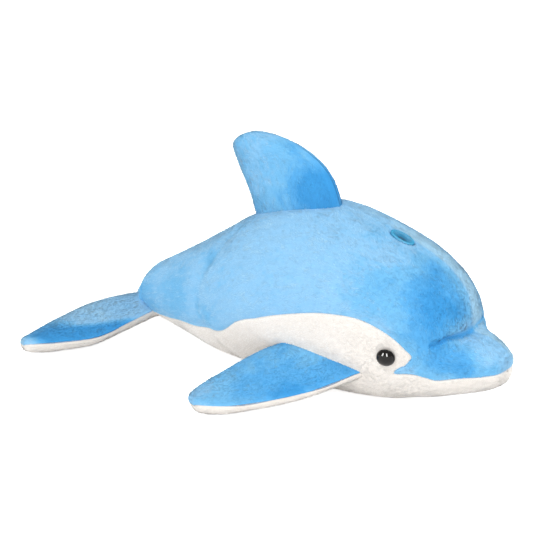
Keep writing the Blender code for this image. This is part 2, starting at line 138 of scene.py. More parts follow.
# %% [markdown]
# ## The body as one surface
#
# A stuffed body has no straight edge to measure from, so it is described the way a pattern maker
# does: by sections. Each row of the table is one section from the nose to the stump of the tail,
# in shares of the body's length, height and width, which are read from the solids. A station is a
# place along the table and an angle goes round the section, from 0 on the back to 180 degrees on
# the belly. The columns of the table are the back line's x and z, the belly line's x and z, the
# width, the level of the widest place between belly and back, and how square the part above it
# is.

# %% The body's size and sections
BODY_SECTIONS = (
    (0.000, 0.273, 0.000, 0.256, 0.002, 0.50, 1.00),
    (0.005, 0.339, 0.008, 0.190, 0.186, 0.48, 1.00),
    (0.031, 0.388, 0.037, 0.140, 0.331, 0.46, 0.95),
    (0.064, 0.417, 0.085, 0.099, 0.466, 0.46, 0.80),
    (0.098, 0.434, 0.129, 0.066, 0.568, 0.46, 0.60),
    (0.105, 0.529, 0.159, 0.041, 0.619, 0.44, 0.72),
    (0.122, 0.649, 0.200, 0.017, 0.703, 0.44, 0.78),
    (0.169, 0.759, 0.251, -0.017, 0.814, 0.44, 0.72),
    (0.258, 0.862, 0.325, -0.041, 0.924, 0.45, 0.61),
    (0.376, 0.956, 0.414, -0.050, 0.992, 0.45, 0.74),
    (0.505, 0.992, 0.519, -0.050, 1.000, 0.45, 0.90),
    (0.624, 0.909, 0.624, -0.033, 0.932, 0.46, 1.00),
    (0.729, 0.747, 0.725, 0.000, 0.797, 0.47, 1.00),
    (0.817, 0.611, 0.810, 0.041, 0.644, 0.48, 1.00),
    (0.898, 0.500, 0.885, 0.074, 0.508, 0.48, 1.00),
    (0.959, 0.411, 0.939, 0.091, 0.390, 0.48, 1.00),
    (0.990, 0.322, 0.976, 0.099, 0.288, 0.48, 1.00),
    (1.000, 0.208, 0.997, 0.157, 0.002, 0.50, 1.00),
)
LAST_STATION = len(BODY_SECTIONS) - 1
BACK_TOP = 0.992
NOSE_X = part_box("belly_panel")[1].x
BODY_LENGTH = NOSE_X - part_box("back_panel_left")[0].x
BODY_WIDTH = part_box("belly_panel")[1].y * 2
BODY_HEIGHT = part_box("back_panel_left")[1].z / BACK_TOP
FLOOR_BLEND = 3 * MM

# Middle station and angle, bend, width in stations, and depth as a share of the section.
TAIL_FOLDS = ((12.1, 81.0, 0.75, 0.33, 0.050), (15.7, 85.0, 0.40, 0.45, 0.060))
FOLDS_FROM, FOLDS_FULL = 15, 40


def fold_dip(station, angle):
    """Share of the section by which the soft tail folds draw the cloth in: a bell curve across
    each fold's line, which bends forward with the square of the angle from its middle."""
    turned = np.degrees(np.abs(angle))
    full = np.clip((turned - FOLDS_FROM) / (FOLDS_FULL - FOLDS_FROM), 0, 1)
    dip = np.zeros_like(full)
    for middle, middle_angle, bend, width, depth in TAIL_FOLDS:
        line = middle - bend * np.radians(turned - middle_angle) ** 2
        dip = dip + full * depth * bell(station - line, width)
    return dip


def body_point(station, angle):
    """Outside of the body: above and below the widest level, a quarter ellipse of the section."""
    station, angle = np.broadcast_arrays(np.asarray(station, float), np.asarray(angle, float))
    back_x, back_z, belly_x, belly_z, width, level, square = np.moveaxis(
        spline(BODY_SECTIONS, station), -1, 0)
    rise = np.cos(angle)
    upper = rise > 0
    reach = np.abs(rise)
    drawn_in = 1 - fold_dip(station, angle)
    mid_x = belly_x + level * (back_x - belly_x)
    mid_z = belly_z + level * (back_z - belly_z)
    x = mid_x + (np.where(upper, back_x, belly_x) - mid_x) * reach
    z = (np.where(upper, back_z, belly_z) - mid_z) * np.where(upper, reach ** square, reach)
    z = (mid_z + z * drawn_in) * BODY_HEIGHT
    k = FLOOR_BLEND
    z = np.where(z <= -k, 0, np.where(z < k, (z + k) ** 2 / (4 * k), z))
    y = width * np.sin(angle) * drawn_in * BODY_WIDTH / 2
    return np.stack([NOSE_X - x * BODY_LENGTH, y, z], axis=-1)


def body_normal(station, angle):
    """Outward normal: the cross product of the steps round the section and along the stations."""
    step = 0.002
    along = body_point(station + step, angle) - body_point(station - step, angle)
    around = body_point(station, angle + step) - body_point(station, angle - step)
    return unit(np.cross(around, along))


print("body, mm:", [round(size / MM, 1) for size in (BODY_LENGTH, BODY_WIDTH, BODY_HEIGHT)])

# %% [markdown]
# ## Where the cloth is sewn
#
# The seam between the blue back and the white belly is the line everyone sees: along the mouth,
# back to a blue corner, forward again to a white point, then over the eye and down to the tail.
# It is kept as rows of four numbers: the station on the back line, the station and the angle of
# the seam, and the station on the belly line. So a panel's threads can run from the back line to
# the seam, and on from the seam to the belly line.

# %% The seam line and its rows
SEAM_LINE = (
    (0.0, 0.0, 92.0, 0.0),
    (0.9, 1.0, 89.5, 1.0),
    (2.2, 2.4, 89.5, 2.5),
    (3.2, 3.4, 91.0, 3.6),
    (4.0, 4.0, 93.0, 4.6),
    (4.4, 5.1, 95.5, 5.8),
    (4.8, 6.0, 99.5, 6.8),
    (5.1, 6.6, 103.0, 7.6),
    (5.3, 6.5, 95.5, 8.2),
    (5.5, 6.05, 85.5, 8.5),
    (6.0, 6.4, 82.0, 8.7),
    (6.6, 7.05, 78.5, 8.9),
    (7.3, 7.65, 78.5, 9.1),
    (8.1, 8.3, 80.5, 9.4),
    (9.0, 8.95, 82.5, 9.8),
    (10.0, 10.0, 88.5, 10.5),
    (10.9, 10.65, 95.0, 11.0),
    (11.5, 11.2, 107.5, 11.5),
    (12.1, 11.85, 113.0, 12.1),
    (13.1, 12.9, 116.0, 13.0),
    (14.5, 14.3, 130.0, 14.4),
    (16.0, 15.9, 136.0, 15.9),
    (17.0, 17.0, 122.0, 17.0),
)
BACK_FAN = 8.0
BELLY_FAN = 6.0
CELL = 1.15 * MM


def even_places(cell):
    """Places along the seam rows, spaced evenly by the mean length of the back line and the
    seam."""
    fine = np.linspace(0, len(SEAM_LINE) - 1, 3000)
    back, seam, angle, _ = np.moveaxis(spline(SEAM_LINE, fine), -1, 0)
    lines = [body_point(back, 0.0), body_point(seam, np.radians(angle))]
    steps = sum(np.linalg.norm(np.diff(line, axis=0), axis=1) for line in lines) / 2
    run = np.concatenate([[0], np.cumsum(steps)])
    return np.interp(np.linspace(0, run[-1], round(run[-1] / cell)), run, fine)


def crowded(count, crowd=0.6):
    """Shares from 0 to 1 that crowd towards both ends: u less crowd * sin(2 pi u) / (2 pi)."""
    u = np.linspace(0, 1, count)
    return u - crowd * np.sin(2 * np.pi * u) / (2 * np.pi)


PLACES = even_places(CELL)
print("rows along the body:", len(PLACES))

# %% [markdown]
# ## Seams, creases and folds
#
# Where two panels are sewn, the cloth rolls inwards and leaves a narrow valley. The crease above
# the beak, the slack folds of the tail and the roots of the fins are valleys too, only softer.
# All of them are lines drawn on the body by station and angle, and a point sinks the more, the
# nearer it lies to one.

# %% Lines on the body, and how deep cloth sinks beside them
ROLL = 1.5 * MM
PILE_ROOT = 0.9 * MM
TRACE_STEP = 0.8 * MM

CREASE = ((4.0, 0.0), (4.05, 12.0), (4.3, 30.5), (4.65, 44.0), (4.95, 56.5), (5.3, 65.0))
TAIL_FOLD = ((11.35, 24.0), (11.6, 37.0), (11.85, 51.0), (12.0, 66.0), (12.1, 81.5), (12.0, 96.5),
             (11.75, 106.0))
STUMP_CREASES = (
    ((16.35, 40.0), (16.45, 65.0), (16.4, 90.0), (16.1, 112.0)),
    ((15.3, 55.0), (15.45, 75.0), (15.4, 95.0), (15.1, 112.0)),
)


def on_body(line, side=1.0, count=160):
    """Points of the body along a line of (station, angle in degrees) rows."""
    rows = spline(line, np.linspace(0, len(line) - 1, count))
    return body_point(rows[:, 0], side * np.radians(rows[:, 1]))


def distance_to(points, line):
    """Distance to the nearest point of a line: the least root of |p|^2 + |q|^2 - 2 p.q over its
    q."""
    flat = points.reshape(-1, 3)
    square = (flat ** 2).sum(1)[:, None] + (line ** 2).sum(1)[None, :] - 2 * flat @ line.T
    return np.sqrt(np.maximum(square.min(1), 0)).reshape(points.shape[:-1])


def valley(distance, depth, width):
    """Depth of a soft valley: a bell curve of the distance from its line."""
    return depth * bell(distance, width)


def rolled_in(distance, radius=ROLL):
    """Depth of a rolled edge: a quarter circle, as deep as its radius on the seam itself."""
    inside = np.clip(radius - distance, 0, radius)
    return radius - np.sqrt(radius ** 2 - inside ** 2)


SEAM_TRACE = np.vstack([
    body_point(rows[:, 1], side * np.radians(rows[:, 2]))
    for side in (1, -1)
    for rows in [spline(SEAM_LINE, even_places(TRACE_STEP))]
])
BACK_TRACE = body_point(spline(SEAM_LINE, PLACES)[:, 0], 0.0)
print("seam length each side, mm:", round(len(SEAM_TRACE) / 2 * TRACE_STEP / MM))

# %% [markdown]
# ## The fins
#
# A fin is a pillow: two panels sewn round an outline, swollen by the filling. Its middle surface
# is stretched between the leading and the trailing edge, and its thickness is greatest half-way
# across. Each fin grows out of the body, so every column starts where the fin's surface leaves
# the body. That place is found by projecting the fin's points onto the body in a few steps, each
# of which corrects the one before, all at once.

# %% The fins' outlines and sizes
DORSAL_CHORD = 83 * MM
DORSAL_HEIGHT = 39.6 * MM
DORSAL_THICKNESS = 28 * MM
DORSAL_STATION = 10.36
DORSAL_OUTLINE = (
    (0.44, -0.25),
    (0.315, 0.43),
    (0.11, 0.80),
    (-0.18, 0.99),
    (-0.47, 1.00),
    (-0.63, 0.79),
    (-0.585, 0.46),
    (-0.455, -0.05),
    (-0.33, -0.75),
)

FLIPPER_LENGTH = 86 * MM
FLIPPER_THICKNESS = 18 * MM
FLIPPER_PLACE = (8.72, 109.0)
FLIPPER_LEAN = (-0.25, 0.10, 0.95)
FLIPPER_OUTLINE = (
    (0.43, -0.19, -0.04),
    (0.33, -0.05, -0.07),
    (0.15, 0.19, -0.15),
    (-0.07, 0.39, -0.21),
    (-0.32, 0.56, -0.26),
    (-0.54, 0.68, -0.26),
    (-0.68, 0.67, -0.255),
    (-0.745, 0.56, -0.235),
    (-0.66, 0.34, -0.15),
    (-0.49, 0.16, -0.02),
    (-0.31, -0.01, 0.07),
    (-0.16, -0.15, 0.13),
)

FLUKE_SPAN = 196 * MM
FLUKE_CHORD = 64 * MM
FLUKE_THICKNESS = 18 * MM
FLUKE_HEIGHT = 20 * MM
FLUKE_OUTLINE = (
    (0.41, 0.00, 1.00),
    (0.38, 0.15, 0.95),
    (0.27, 0.41, 0.70),
    (0.16, 0.68, 0.50),
    (-0.09, 0.88, 0.45),
    (-0.36, 1.00, 0.40),
    (-0.53, 1.00, 0.40),
    (-0.59, 0.90, 0.40),
    (-0.56, 0.63, 0.60),
    (-0.47, 0.35, 0.80),
    (-0.33, 0.15, 0.85),
    (-0.16, 0.00, 0.85),
)
FIN_FULLNESS = 0.55
EDGE_THICKNESS = 1.6 * MM


def swelling(across):
    """Pillow shape from edge to edge: (4 a (1 - a))^0.55."""
    return np.maximum(4 * across * (1 - across), 0) ** FIN_FULLNESS


def tapering(down):
    """Thinning towards the tip: the root of 1 - d^3."""
    return np.sqrt(np.maximum(1 - down ** 3, 0))


def fin_surface(outline, thickness, down, across):
    """Middle surface and pillow height of a fin: the middle runs straight from the leading to
    the trailing edge, and the height is the swelling across times the tapering down."""
    half = (len(outline) - 1) / 2
    a = across[..., None]
    middle = spline(outline, down * half) * (1 - a) + spline(outline, (2 - down) * half) * a
    swell = swelling(across) * tapering(down)
    return middle, (EDGE_THICKNESS + (thickness - EDGE_THICKNESS) * swell) / 2


def height_over_body(points, station, angle):
    """How far points stand outside the body. From a first guess of station and angle, each
    step moves the foot along the surface by the least-squares share of what still
    separates them."""
    station = np.full(points.shape[:-1], float(station))
    angle = np.full(points.shape[:-1], float(angle))
    step = 0.01
    for _ in range(8):
        gap = points - body_point(station, angle)
        du = (body_point(station + step, angle) - body_point(station - step, angle)) / (2 * step)
        dv = (body_point(station, angle + step) - body_point(station, angle - step)) / (2 * step)
        uu, uv, vv = (du * du).sum(-1), (du * dv).sum(-1), (dv * dv).sum(-1)
        gu, gv = (gap * du).sum(-1), (gap * dv).sum(-1)
        span = np.maximum(uu * vv - uv * uv, 1e-16)
        station = np.clip(station + np.clip((gu * vv - gv * uv) / span, -1, 1), 0, LAST_STATION)
        angle = angle + np.clip((gv * uu - gu * uv) / span, -0.5, 0.5)
    return ((points - body_point(station, angle)) * body_normal(station, angle)).sum(-1)


def first_outside(height, down):
    """Share of the way down each column at which its height over the body first passes zero."""
    outside = height > 0
    row = np.argmax(outside, axis=0)
    column = np.arange(height.shape[1])
    above = np.maximum(row - 1, 0)
    low, high = height[above, column], height[row, column]
    t = np.where(row > 0, -low / np.where(high - low == 0, 1, high - low), 0)
    return down[above] + t * (down[row] - down[above])


# %% [markdown]
# ## Making the meshes
#
# A panel is cloth with two faces. The outer face carries every seam and fold and needs a fine
# grid; the inner face is never seen and has the same rows but few columns. Rims along the edges
# and one many-sided face at each end close the sheet.

# %% Meshes from arrays
def new_piece(name, points, faces):
    """Mesh object from an array of points and a list of arrays of faces, each (count, corners)."""
    mesh = bpy.data.meshes.new(name)
    corners = np.concatenate([np.asarray(f).ravel() for f in faces]).astype(np.int32)
    sizes = np.concatenate([np.full(len(f), np.shape(f)[1]) for f in faces])
    starts = np.concatenate([[0], np.cumsum(sizes)[:-1]]).astype(np.int32)
    mesh.vertices.add(len(points))
    mesh.vertices.foreach_set("co", np.asarray(points, np.float32).ravel())
    mesh.loops.add(len(corners))
    mesh.loops.foreach_set("vertex_index", corners)
    mesh.polygons.add(len(sizes))
    mesh.polygons.foreach_set("loop_start", starts)
    mesh.update(calc_edges=True)
    mesh.polygons.foreach_set("use_smooth", np.ones(len(sizes), bool))
    obj = bpy.data.objects.new(name, mesh)
    bpy.context.scene.collection.objects.link(obj)
    return obj


def grid_faces(rows, columns, start=0):
    """Quads of a grid of points numbered row by row, as an array (count, 4)."""
    r, c = np.meshgrid(np.arange(rows - 1), np.arange(columns - 1), indexing="ij")
    first = (start + r * columns + c).ravel()
    return np.stack([first, first + 1, first + columns + 1, first + columns], axis=1)


def sheet_faces(rows, outer_columns, inner_columns):
    """Faces of a closed sheet: the outer grid, the inner grid turned round, and the rims."""
    inner = rows * outer_columns
    outer_edge = np.arange(rows) * outer_columns
    inner_edge = inner + np.arange(rows) * inner_columns
    faces = [grid_faces(rows, outer_columns), grid_faces(rows, inner_columns, inner)[:, ::-1]]
    for a, b, turn in ((outer_edge, inner_edge, 1),
                       (outer_edge + outer_columns - 1, inner_edge + inner_columns - 1, -1)):
        rim = np.stack([a[:-1], a[1:], b[1:], b[:-1]], axis=1)
        faces.append(rim[:, ::turn])
    ends = []
    for row, turn in ((0, 1), (rows - 1, -1)):
        near = row * outer_columns + np.arange(outer_columns)
        far = inner + row * inner_columns + np.arange(inner_columns)
        ends.append(np.concatenate([far, near[::-1]])[None, ::turn])
    return faces + ends


def set_values(mesh, name, values):
    """Store one number for each vertex under a name that a material can read."""
    attribute = mesh.attributes.new(name, "FLOAT", "POINT")
    attribute.data.foreach_set("value", np.asarray(values, np.float32).ravel())


# %% [markdown]
# ## Planting the pile
#
# Plush is knitted with the ends of its yarn standing up, brushed one way and sheared short. Each
# lock here stands for the few dozen filaments of one stitch: a slim wedge that lies back the way
# the cloth was brushed, flat on top and sunk into the ground at its foot. Neighbours lean almost
# alike, which makes the soft crinkles that catch the light, so the lean comes from smooth noise.

# %% Locks of pile on a grid
LOCK_LENGTH = 1.7 * MM
LOCK_WIDTH = 0.6 * MM
LOCKS_PER_MM2 = 1.15
SHORTEST = 0.15
LEAN, STROKE_LEAN, LEAN_SPREAD = 15, 8, 3
FOOT_DEPTH, HEEL_DEPTH, OVER_FLOOR = 0.08 * MM, 0.4 * MM, 0.05 * MM
STROKE_LENGTH = 7 * MM
STROKE_WIDTH = 1.6 * MM
STROKE_SHADE = 0.15
# Heights on each lock, foot to tip, and of the ground between: the material paints shade low down.
LOCK_HEIGHTS = (0.2, 0.2, 0.0, 1.0)
GROUND_HEIGHT = 0.3


def cell_areas(grid):
    """Area of each cell of a grid of points: half the cross product of its diagonals."""
    one, two = grid[1:, 1:] - grid[:-1, :-1], grid[1:, :-1] - grid[:-1, 1:]
    return np.linalg.norm(np.cross(one, two), axis=-1) / 2


def between(grid, row, column):
    """Values of a grid at places between its rows and columns, blended from the four around."""
    r, c = row.astype(int), column.astype(int)
    fr, fc = (row - r)[:, None], (column - c)[:, None]
    grid = grid.reshape(grid.shape[0], grid.shape[1], -1)
    top = grid[r, c] * (1 - fc) + grid[r, c + 1] * fc
    low = grid[r + 1, c] * (1 - fc) + grid[r + 1, c + 1] * fc
    return top * (1 - fr) + low * fr


def cloth_places(grid):
    """Each grid point's place on the cloth laid flat: the mean run along the rows, and across
    them."""
    down = np.linalg.norm(np.diff(grid, axis=0), axis=-1).mean(1)
    wide = np.linalg.norm(np.diff(grid, axis=1), axis=-1).mean(0)
    u, v = (np.concatenate([[0], np.cumsum(step)]) for step in (down, wide))
    u, v = np.meshgrid(u, v, indexing="ij")
    return np.stack([u, v, 0 * u], axis=-1)


def strokes(places, seed):
    """Strokes of pile that lie together: smooth noise with cells a stroke long by a stroke wide,
    bent a little by a broader noise, and a finer one of half its height on top."""
    bend = noise(places, 12 * MM, seed + 4)[..., None] * (0, 1, 0)
    flat = places / (STROKE_LENGTH, STROKE_WIDTH, 1) + bend
    return (noise(flat, 1.0, seed + 5) + 0.6 * noise(flat, 0.45, seed + 6)) / 1.2


def plant(grid, normal, brushed, keep, ruffled, seed):
    """Locks on a grid: places drawn by cell area, then a base of three points and a tip for
    each. The tip lies at base + length * (cos(lean) * brushed way + sin(lean) * normal)."""
    random = np.random.default_rng(seed)
    area = cell_areas(grid)
    share = (area / area.sum()).ravel()
    count = int(area.sum() / MM ** 2 * LOCKS_PER_MM2)
    cell = random.choice(len(share), count, p=share)
    row = cell // area.shape[1] + random.random(count) * 0.999
    column = cell % area.shape[1] + random.random(count) * 0.999
    long_enough = between(keep, row, column)[:, 0]
    chosen = long_enough > SHORTEST
    row, column, long_enough = row[chosen], column[chosen], long_enough[chosen]
    count = len(row)
    place = between(grid, row, column)
    up = unit(between(normal, row, column))
    way = between(brushed, row, column)
    way = unit(way - up * (way * up).sum(1)[:, None])
    side = np.cross(up, way)
    swirl = 0.55 * noise(place, 9 * MM, seed + 1) + 0.45 * noise(place, 3 * MM, seed + 2)
    swirl = swirl + 0.12 * random.standard_normal(count)
    way = unit(way * np.cos(swirl)[:, None] + side * np.sin(swirl)[:, None])
    side = np.cross(up, way)
    stroke = ruffled * strokes(between(cloth_places(grid), row, column), seed)
    lean = LEAN + STROKE_LEAN * stroke + LEAN_SPREAD * random.standard_normal(count)
    lean = np.radians(lean)[:, None]
    length = (LOCK_LENGTH * long_enough * (0.8 + 0.4 * random.random(count)))[:, None]
    half = (LOCK_WIDTH / 2 * (0.8 + 0.4 * random.random(count)))[:, None]
    tip = place + length * (way * np.cos(lean) + up * np.sin(lean))
    foot = place - FOOT_DEPTH * up
    sunk = place - HEEL_DEPTH * up + way * length * 0.3
    points = np.stack([foot - side * half, foot + side * half, sunk, tip], axis=1)
    points[..., 2] = np.maximum(points[..., 2], OVER_FLOOR)
    faces = np.array([[1, 0, 3], [2, 1, 3], [0, 2, 3], [0, 1, 2]])
    faces = (np.arange(count)[:, None, None] * 4 + faces).reshape(-1, 3)
    soft = np.repeat(unit(up - way * np.sin(lean) * 0.5)[:, None], 4, axis=1)
    soft[:, 0] -= side * 0.15
    soft[:, 1] += side * 0.15
    return {"points": points.reshape(-1, 3), "faces": faces, "normals": unit(soft).reshape(-1, 3),
            "row": row, "column": column, "stroke": stroke}


def plush(name, grid, lining, out, brushed, keep, nap_and_painted_light, ruffled, seed):
    """One panel of plush: the closed sheet of cloth, the locks on its outer face, the shade of
    the nap with painted light and shade as values from 0 (deep nap and painted shade) to 1 (pale
    nap and painted light), and soft normals for the locks.
    The directions in out say roughly which way the panel faces, and ruffled how strong the
    strokes are."""
    rows, columns = grid.shape[:2]
    along, across = np.gradient(grid, axis=0), np.gradient(grid, axis=1)
    normal = unit(np.cross(across, along))
    turned = (normal * out).sum() < 0
    if turned:
        normal = -normal
    locks = plant(grid, normal, brushed, keep, ruffled, seed)
    points = np.concatenate([grid.reshape(-1, 3), lining.reshape(-1, 3)])
    faces = sheet_faces(rows, columns, lining.shape[1])
    if turned:
        faces = [f[:, ::-1] for f in faces]
    obj = new_piece(name, np.concatenate([points, locks["points"]]),
                    faces + [locks["faces"] + len(points)])
    # Each lock's shade: the nap with its painted light and shade, plus the strokes.
    lock_nap_and_painted_light = between(nap_and_painted_light, locks["row"], locks["column"])[:, 0] + STROKE_SHADE * locks["stroke"]
    inside = np.zeros(lining.shape[0] * lining.shape[1])
    height = [nap_and_painted_light.ravel() * 0 + GROUND_HEIGHT, inside, np.tile(LOCK_HEIGHTS, len(lock_nap_and_painted_light))]
    set_values(obj.data, "nap_and_painted_light", np.concatenate([nap_and_painted_light.ravel(), inside, np.repeat(lock_nap_and_painted_light, 4)]))
    set_values(obj.data, "height", np.concatenate(height))
    inner = -normal[:, picked(columns, lining.shape[1])]
    soft = np.concatenate([normal.reshape(-1, 3), inner.reshape(-1, 3), locks["normals"]])
    obj.data.normals_split_custom_set_from_vertices(soft.tolist())
    print(f"{name}: {rows} x {columns} grid, {len(lock_nap_and_painted_light)} locks")
    return obj


# %% [markdown]
# ## Fin panels
#
# Each fin gives two panels. The grid of a panel starts on the body, at the place that those
# steps find, and crowds its rows towards the tip, where the outline turns fast.

# %% Grids of the fins
LINING_COLUMNS = 8
CLOTH = 2.5 * MM
ROOT_SUNK = 2.6 * MM
BLUE_RUFFLED = 1.0
WHITE_RUFFLED = 0.15
LEADING_LIFT = 3.2 * MM
UNDERSIDE_FULLER = 1.12
DORSAL_FLARE = 4.5 * MM
FIN_CHORD = 60 * MM
FIN_ROLL = 1.0 * MM
LOWEST = 0.2 * MM


def fin_grid(outline, thickness, up, guess, floor, face, rows=80, columns=46):
    """Outer and inner grid of one face of a fin, and the shares down and across of its points.
    The leading edge of a fin that lies on the floor is lifted by a share (1 - a)(1 - swell) of
    the lift, and a fin that stands flares out towards its root."""
    across = crowded(columns, 0.75)[None, :]
    down = np.linspace(0, 1, 200)[:, None]
    start = np.zeros(columns)

    def at(down, across, sunk):
        middle, height = fin_surface(outline, thickness, down, across)
        swell = swelling(across)
        if floor:
            middle[..., 2] = np.maximum(middle[..., 2], height)
            lift = LEADING_LIFT * (1 - swell) * (1 - across) * tapering(down)
            middle = middle + up * lift[..., None]
            height = height * (UNDERSIDE_FULLER if face < 0 else 1.0)
        else:
            height = height + DORSAL_FLARE * swell * ease(down, 0.45, 0.05)
        edge = np.minimum(across, 1 - across) * FIN_CHORD
        depth = np.minimum(sunk + rolled_in(edge, FIN_ROLL), height)
        return middle + face * up * (height - depth)[..., None]

    if guess is not None:
        down, wide = np.broadcast_arrays(down, across)
        height = height_over_body(at(down, wide, PILE_ROOT), *guess)
        start = first_outside(height + ROOT_SUNK, down[:, 0])
    run = (1 - (1 - np.linspace(0, 1, rows)) ** 1.5)[:, None]
    down, across = np.broadcast_arrays(start + (1 - start) * run, across)
    inner = picked(columns, LINING_COLUMNS)
    return (at(down, across, PILE_ROOT), at(down[:, inner], across[:, inner], PILE_ROOT + CLOTH),
            down, across)


def lumpy(grid, out, seed):
    """A stuffed surface is never quite smooth: broad lumps of filling and finer ones of the
    cloth."""
    lumps = 0.55 * MM * noise(grid, 30 * MM, seed) + 0.2 * MM * noise(grid, 11 * MM, seed + 5)
    return grid + out * lumps[..., None]


def short_at_edges(across):
    """How long a fin's pile stands: a third of its length on the seam, all of it further in."""
    return 0.35 + 0.65 * ease(np.minimum(across, 1 - across), 0.0, 0.05)


def fin_pieces(name, words, fin, nap_and_painted_light, seed):
    """The two panels of a fin, brushed from root to tip."""
    made = []
    for face, word in zip((1, -1), words):
        grid, lining, down, across = fin_grid(*fin, face)
        out = fin[2] * face
        grid = lumpy(grid, out, seed)
        grid[..., 2] = np.maximum(grid[..., 2], LOWEST)
        ruffled = BLUE_RUFFLED if word != "underside" else WHITE_RUFFLED
        made.append(plush(f"{name}_{word}", grid, lining, out, np.gradient(grid, axis=0),
                          short_at_edges(across), nap_and_painted_light(down, across, grid), ruffled, seed + face))
    return made


LEFTWARD = np.array([0.0, 1.0, 0.0])
UPWARD = np.array([0.0, 0.0, 1.0])
top = body_point(DORSAL_STATION, 0.0)
DORSAL = ([(top[0] + a * DORSAL_CHORD, 0.0, top[2] + h * DORSAL_HEIGHT) for a, h in DORSAL_OUTLINE],
          DORSAL_THICKNESS, LEFTWARD, (DORSAL_STATION, 0.0), False)
stump = body_point(LAST_STATION, 0.0)
FLUKE = ([(stump[0] + a * FLUKE_CHORD, -o * FLUKE_SPAN / 2, h * FLUKE_HEIGHT)
          for a, o, h in FLUKE_OUTLINE], FLUKE_THICKNESS, UPWARD, None, True)


def flipper(side):
    """A flipper as fin_grid takes it: outline, thickness, the way its top faces, the first guess
    of its root's station and angle, and that it lies on the floor."""
    guess = (FLIPPER_PLACE[0], side * np.radians(FLIPPER_PLACE[1]))
    root = body_point(*guess)
    outline = [root + FLIPPER_LENGTH * np.array([a, side * o, h]) for a, o, h in FLIPPER_OUTLINE]
    return outline, FLIPPER_THICKNESS, unit(np.array(FLIPPER_LEAN) * (1, side, 1)), guess, True

# %% [markdown]
# ## Shades of the nap, with painted light and shade
#
# The same blue cloth looks pale where its pile was stroked one way and deep where it was stroked
# the other. Patches are drawn where hands have left them on this toy, with edges broken up by
# noise. Others are painted shade: at the dorsal fin's root, in the crease above the beak, in the
# tail's fold and creases and on the shaded side of the tail stock. A pale strip beyond the
# forehead's back seam is painted light.

# %% How the nap lies on the fins, and painted shade at the dorsal fin's root
def broken(points, seed, amount=0.12):
    """Irregular change of shade: three sizes of noise, each 0.6 times as strong as the one
    before."""
    return sum(amount * 0.6 ** k * noise(points, size * MM, seed + k)
               for k, size in enumerate((26, 11, 5)))


def dorsal_nap_and_root_shade(down, across, points):
    """Pale, with a deep patch low beside the leading edge, which is deep all the way up, and darker
    towards the root: painted shade where the fin meets the body.
    """
    dark = bell(across - 0.17, 0.23) * bell(down - 0.24, 0.19)
    edge = ease(across, 0.20, 0.06) * ease(down, 0.8, 0.5)
    # Painted shade where the fin meets the body.
    root = ease(down, 0.30, 0.18)
    return 0.62 - 0.58 * dark - 0.20 * edge - 0.12 * root + broken(points, 31, 0.10)


def flipper_nap(down, across, points):
    """Deep at the root, paler towards tip and trailing edge, and deepest half-way along the
    lead."""
    dark = bell(across - 0.05, 0.16) * bell(down - 0.48, 0.13)
    paler = 0.20 * ease(down, 0.5, 0.8) + 0.10 * ease(across, 0.35, 0.6)
    return 0.32 + paler - 0.28 * dark + broken(points, 41, 0.13)


def fluke_nap(down, across, points):
    """Pale over the root and the trailing half, deep along the leading edge, pale at the tip."""
    pale = ease(across + 1.6 * (0.50 - down), 0.15, 0.35) * ease(down, 0.66, 0.50)
    far_edge = ease(across, 0.5, 0.8) * (1 - pale)
    tip = ease(down, 0.76, 0.9) * (1 - pale)
    return 0.02 + 0.80 * pale + 0.24 * far_edge + 0.64 * tip + broken(points, 51, 0.08)


SIDES = (("left", 1), ("right", -1))
dorsal = fin_pieces("plush_dorsal", ("left", "right"), DORSAL, dorsal_nap_and_root_shade, 3)
flippers = {word: fin_pieces(f"plush_flipper_{word}", ("top", "underside"), flipper(side),
                             flipper_nap, 11 + side) for word, side in SIDES}

# %% The fluke, both lobes in one piece
def fluke_piece(word, face, seed):
    """One face of the fluke: the right lobe from its tip to the middle, and the left one on from
    there, its mirror image. Where it lies inside the stump it carries no pile."""
    grid, lining, down, across = fin_grid(*FLUKE, face, 76, 50)
    mirror = np.array([1.0, -1.0, 1.0])
    grid, lining = (np.concatenate([g[:0:-1], g * mirror]) for g in (grid, lining))
    down, across = (np.concatenate([d[:0:-1], d]) for d in (down, across))
    grid = lumpy(grid, UPWARD * face, seed)
    brushed = np.gradient(grid, axis=0) * np.sign(grid[..., 1:2] + 1e-9)
    clear = ease(height_over_body(grid, LAST_STATION - 1, 0.0), -1 * MM, 1 * MM)
    away = ease(np.abs(grid[..., 1]), 18 * MM, 26 * MM)
    keep = short_at_edges(across) * np.maximum(clear, away)
    ruffled = BLUE_RUFFLED if face > 0 else WHITE_RUFFLED
    return plush(f"plush_fluke_{word}", grid, lining, UPWARD * face, brushed, keep,
                 fluke_nap(down, across, grid), ruffled, seed)


fluke = [fluke_piece("top", 1, 61), fluke_piece("underside", -1, 62)]

# %% [markdown]
# ## The body's panels
#
# Every point of the body's cloth is moved inwards by what the seams, the crease, the folds and
# the fin roots take, and in or out by the lumps of the filling. The toy is a mirror image of
# itself, so distances are measured to the lines of one side, with each point's y taken without
# its sign.

# %% Relief of the body
EYE_PLACE = (7.0, 89.0)
BLOWHOLE_STATION = 8.15
BLOWHOLE_SIZE = (17.5 * MM, 10.5 * MM)
EYE_ROOM = (5.0 * MM, 6.4 * MM)
# Depth and width, in mm, of the valley along each line or round each place.
VALLEYS = {"back": (0.3, 2.5), "crease": (1.9, 1.5), "fold": (0.5, 4.0), "dorsal root": (1.0, 4.0),
           "flipper root": (1.0, 4.0), "eye": (1.6, 8.0)}


def root_ring(fin):
    """Points of both faces of a fin where they meet the body."""
    return np.concatenate([fin_grid(*fin, face)[0][0] for face in (1, -1)])


